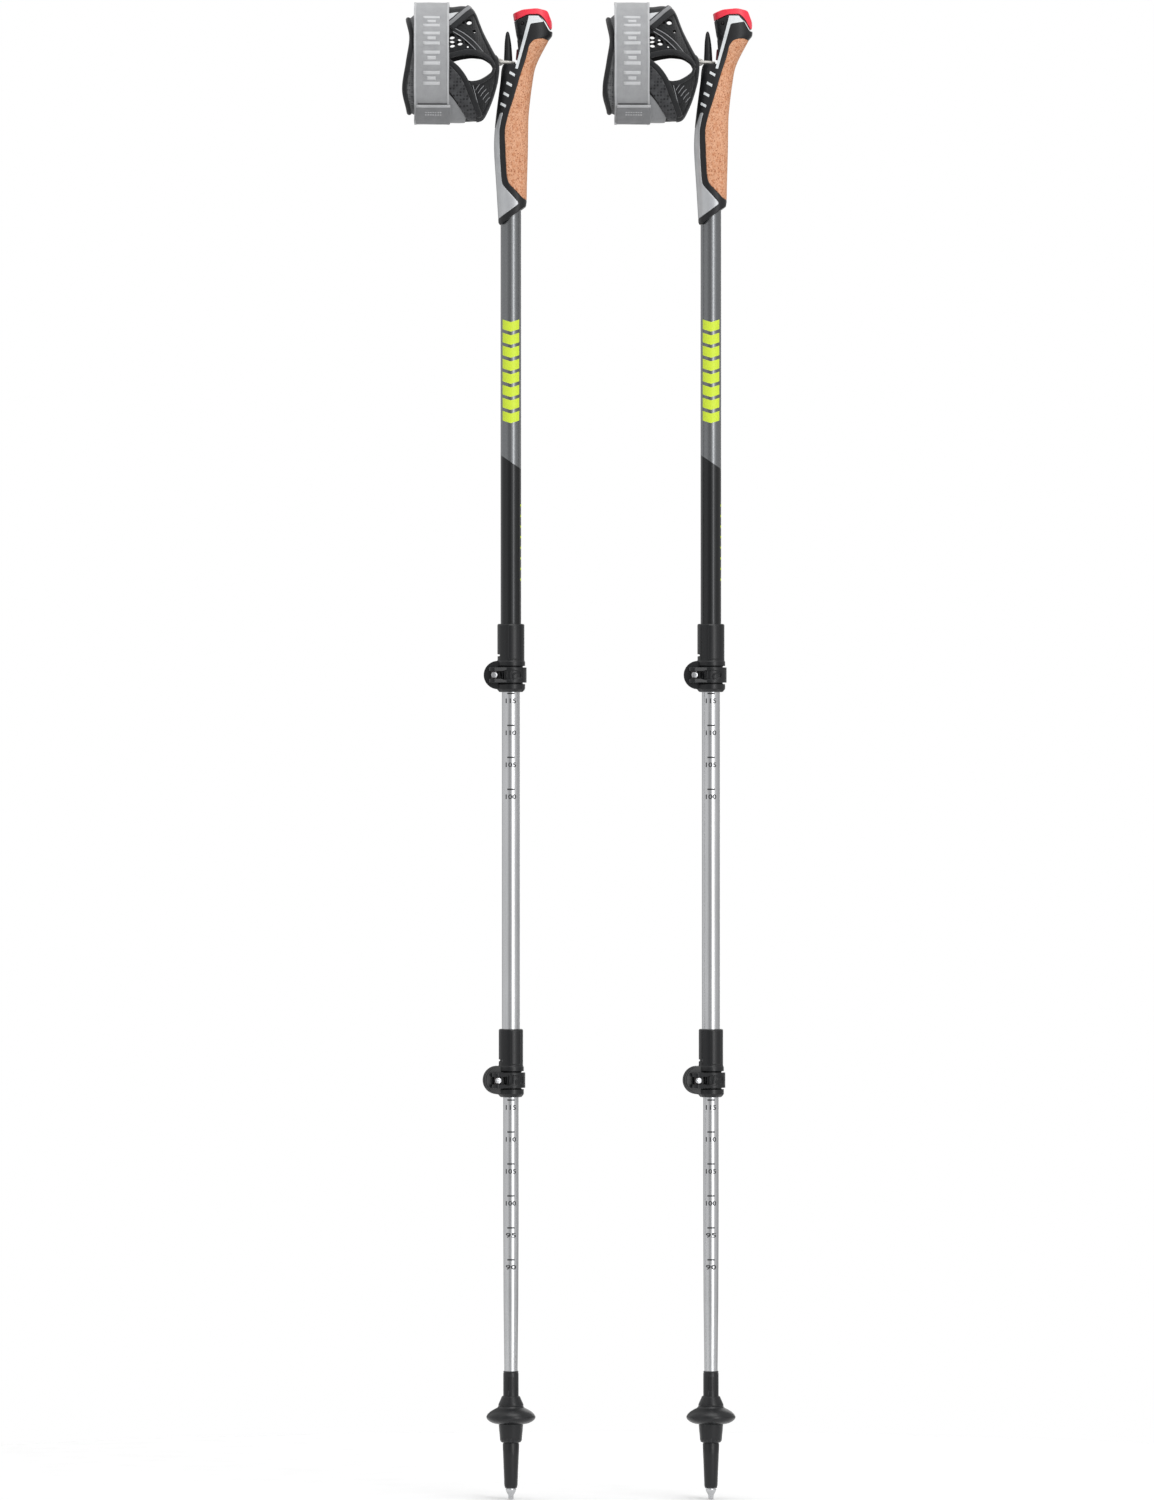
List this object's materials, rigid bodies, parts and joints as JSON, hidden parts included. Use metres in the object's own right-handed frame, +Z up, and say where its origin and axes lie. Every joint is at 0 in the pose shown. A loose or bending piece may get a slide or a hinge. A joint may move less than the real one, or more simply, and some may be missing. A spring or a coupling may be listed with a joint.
{
  "type": "trekking poles",
  "caption": "Telescoping trekking poles with cork grips, detachable hand straps, lever clamps, round baskets and steel tips.",
  "frame": {"origin": "on the left pole's axis at the middle of its hand hold, 1060 mm above the tips", "axes": "+Z up along the poles, +X from the left pole to the right one and towards the grips' front, +Y away from the levers' side"},
  "size_m": [0.269, 0.0596, 1.16],
  "materials": {
    "black_plastic": "satin moulded",
    "black_rubber": "soft-touch matt",
    "silver_plastic": "silver satin",
    "red_plastic": "satin moulded",
    "dark_red_plastic": "satin moulded",
    "cork": "ground granulated cork",
    "steel": "bright",
    "grey_tube": "dark grey metallic lacquer",
    "silver_tube": "anodised satin",
    "cord": "braided",
    "strap_mesh": "spacer mesh",
    "strap_webbing": "brushed woven loop",
    "strap_tab": "woven"
  },
  "bodies": {
    "left_upper_section": {"left_grip_core": "black_plastic", "left_cork_grip": "cork", "left_rear_panel": "silver_plastic", "left_grip_shell": "black_rubber", "left_release_pivot_pin": "steel", "left_release_spring": "steel", "left_upper_tube": "grey_tube", "left_upper_clamp_collar": "black_plastic", "left_upper_clamp_barrel_pin": "steel", "left_upper_clamp_screw": "steel", "left_upper_clamp_nut": "steel"},
    "left_button": {"left_release_button": "red_plastic"},
    "left_latch": {"left_strap_latch": "dark_red_plastic"},
    "left_strap_ring": {"left_strap_cord_ring": "cord"},
    "left_strap": {"left_strap_cuff": "strap_mesh", "left_wrist_band": "strap_webbing", "left_wrist_tab": "strap_tab"},
    "left_upper_lever": {"left_upper_clamp_lever": "black_plastic"},
    "left_middle_section": {"left_middle_tube": "silver_tube", "left_middle_bushing": "black_plastic", "left_lower_clamp_collar": "black_plastic", "left_lower_clamp_barrel_pin": "steel", "left_lower_clamp_screw": "steel", "left_lower_clamp_nut": "steel"},
    "left_lower_lever": {"left_lower_clamp_lever": "black_plastic"},
    "left_lower_section": {"left_lower_tube": "silver_tube", "left_lower_bushing": "black_plastic", "left_tip_ferrule": "black_plastic", "left_steel_tip": "steel"},
    "left_basket_body": {"left_basket": "black_plastic"},
    "right_upper_section": {"right_grip_core": "black_plastic", "right_cork_grip": "cork", "right_rear_panel": "silver_plastic", "right_grip_shell": "black_rubber", "right_release_pivot_pin": "steel", "right_release_spring": "steel", "right_upper_tube": "grey_tube", "right_upper_clamp_collar": "black_plastic", "right_upper_clamp_barrel_pin": "steel", "right_upper_clamp_screw": "steel", "right_upper_clamp_nut": "steel"},
    "right_button": {"right_release_button": "red_plastic"},
    "right_latch": {"right_strap_latch": "dark_red_plastic"},
    "right_strap_ring": {"right_strap_cord_ring": "cord"},
    "right_strap": {"right_strap_cuff": "strap_mesh", "right_wrist_band": "strap_webbing", "right_wrist_tab": "strap_tab"},
    "right_upper_lever": {"right_upper_clamp_lever": "black_plastic"},
    "right_middle_section": {"right_middle_tube": "silver_tube", "right_middle_bushing": "black_plastic", "right_lower_clamp_collar": "black_plastic", "right_lower_clamp_barrel_pin": "steel", "right_lower_clamp_screw": "steel", "right_lower_clamp_nut": "steel"},
    "right_lower_lever": {"right_lower_clamp_lever": "black_plastic"},
    "right_lower_section": {"right_lower_tube": "silver_tube", "right_lower_bushing": "black_plastic", "right_tip_ferrule": "black_plastic", "right_steel_tip": "steel"},
    "right_basket_body": {"right_basket": "black_plastic"}
  },
  "joints": [
    {"name": "left_release_press", "type": "hinge", "parent": "left_upper_section", "child": "left_button", "pos_m": [0.0089, 0, 0.0829], "axis": [0, 1, 0], "range_deg": [0, 2.5], "stiffness_Nm_per_rad": 2, "springref_deg": -2.86},
    {"name": "left_latch_draw", "type": "slide", "parent": "left_upper_section", "child": "left_latch", "axis": [1, 0, 0], "range_m": [0, 0.0023]},
    {"name": "left_strap_lift", "type": "slide", "parent": "left_upper_section", "child": "left_strap_ring", "axis": [-0.0523, 0, 0.9986], "range_m": [0, 0.03]},
    {"name": "left_strap_swivel", "type": "hinge", "parent": "left_strap_ring", "child": "left_strap", "pos_m": [-0.00305, 0, 0.0529], "axis": [0, 0, 1], "range_deg": [-25, 25]},
    {"name": "left_upper_lever_open", "type": "hinge", "parent": "left_upper_section", "child": "left_upper_lever", "pos_m": [-0.0126, -0.0096, -0.4214], "axis": [0, 0, -1], "range_deg": [0, 120]},
    {"name": "left_middle_slide", "type": "slide", "parent": "left_upper_section", "child": "left_middle_section", "axis": [0, 0, 1], "range_m": [-0.075, 0.255]},
    {"name": "left_lower_lever_open", "type": "hinge", "parent": "left_middle_section", "child": "left_lower_lever", "pos_m": [-0.01033, -0.01201, -0.7353], "axis": [0, 0, -1], "range_deg": [0, 120]},
    {"name": "left_lower_slide", "type": "slide", "parent": "left_middle_section", "child": "left_lower_section", "axis": [0, 0, 1], "range_m": [-0.075, 0.208]},
    {"name": "left_basket_turn", "type": "hinge", "parent": "left_lower_section", "child": "left_basket_body", "pos_m": [0, 0, -0.998], "axis": [0, 0, 1], "range_deg": [0, 90]},
    {"name": "right_pole_apart", "type": "slide", "parent": "left_upper_section", "child": "right_upper_section", "axis": [1, 0, 0], "range_m": [-0.03, 0.3]},
    {"name": "right_release_press", "type": "hinge", "parent": "right_upper_section", "child": "right_button", "pos_m": [0.1639, 0, 0.0829], "axis": [0, 1, 0], "range_deg": [0, 2.5], "stiffness_Nm_per_rad": 2, "springref_deg": -2.86},
    {"name": "right_latch_draw", "type": "slide", "parent": "right_upper_section", "child": "right_latch", "axis": [1, 0, 0], "range_m": [0, 0.0023]},
    {"name": "right_strap_lift", "type": "slide", "parent": "right_upper_section", "child": "right_strap_ring", "axis": [-0.0523, 0, 0.9986], "range_m": [0, 0.03]},
    {"name": "right_strap_swivel", "type": "hinge", "parent": "right_strap_ring", "child": "right_strap", "pos_m": [0.15195, 0, 0.0529], "axis": [0, 0, 1], "range_deg": [-25, 25]},
    {"name": "right_upper_lever_open", "type": "hinge", "parent": "right_upper_section", "child": "right_upper_lever", "pos_m": [0.1424, -0.0096, -0.4214], "axis": [0, 0, -1], "range_deg": [0, 120]},
    {"name": "right_middle_slide", "type": "slide", "parent": "right_upper_section", "child": "right_middle_section", "axis": [0, 0, 1], "range_m": [-0.075, 0.255]},
    {"name": "right_lower_lever_open", "type": "hinge", "parent": "right_middle_section", "child": "right_lower_lever", "pos_m": [0.14467, -0.01201, -0.7353], "axis": [0, 0, -1], "range_deg": [0, 120]},
    {"name": "right_lower_slide", "type": "slide", "parent": "right_middle_section", "child": "right_lower_section", "axis": [0, 0, 1], "range_m": [-0.075, 0.208]},
    {"name": "right_basket_turn", "type": "hinge", "parent": "right_lower_section", "child": "right_basket_body", "pos_m": [0.155, 0, -0.998], "axis": [0, 0, 1], "range_deg": [0, 90]}
  ],
  "couplings": [
    {"joint": "left_latch_draw", "follows": "left_release_press", "m_per_rad": 0.05},
    {"joint": "right_latch_draw", "follows": "right_release_press", "m_per_rad": 0.05}
  ]
}
